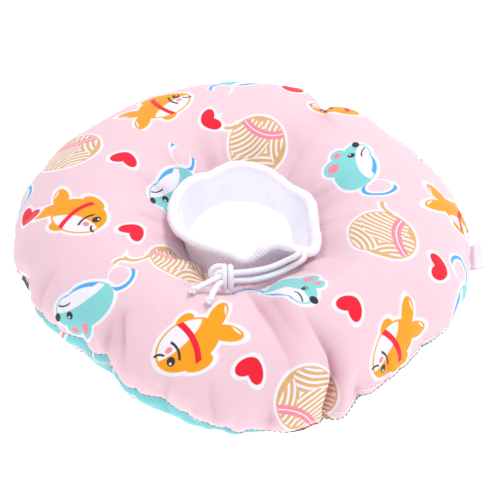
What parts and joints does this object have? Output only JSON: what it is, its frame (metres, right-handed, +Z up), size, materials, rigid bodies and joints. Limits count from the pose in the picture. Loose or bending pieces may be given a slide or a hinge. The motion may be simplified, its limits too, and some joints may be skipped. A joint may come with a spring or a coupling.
{
  "type": "cat recovery collar",
  "caption": "Soft stuffed ring collar with a rib-knit neck tube, a drawstring knotted at the front and a gathered two-panel cotton cover.",
  "frame": {"origin": "on the floor under the middle of the collar's bounding box without its drawstring ends", "axes": "+Z up along the neck opening, the drawstring's knot faces -Y, the side label is on +X"},
  "size_m": [0.3126, 0.31, 0.0717],
  "materials": {
    "pink_cotton": "matte printed cotton",
    "aqua_cotton": "matte printed cotton",
    "fibre_filling": "loose polyester fibre",
    "white_rib_knit": "soft rib knit",
    "white_cord": "round braided cord",
    "white_tape": "satin tape, bare"
  },
  "bodies": {
    "root": {"top_panel": "pink_cotton", "bottom_panel": "aqua_cotton", "filling": "fibre_filling", "neck_collar": "white_rib_knit", "drawstring_loop": "white_cord", "drawstring_strand_1": "white_cord", "drawstring_strand_2": "white_cord", "drawstring_knot": "white_cord", "drawstring_tail_1": "white_cord", "drawstring_tail_2": "white_cord", "end_knot_1": "white_cord", "end_knot_2": "white_cord", "side_label": "white_tape"}
  },
  "joints": []
}
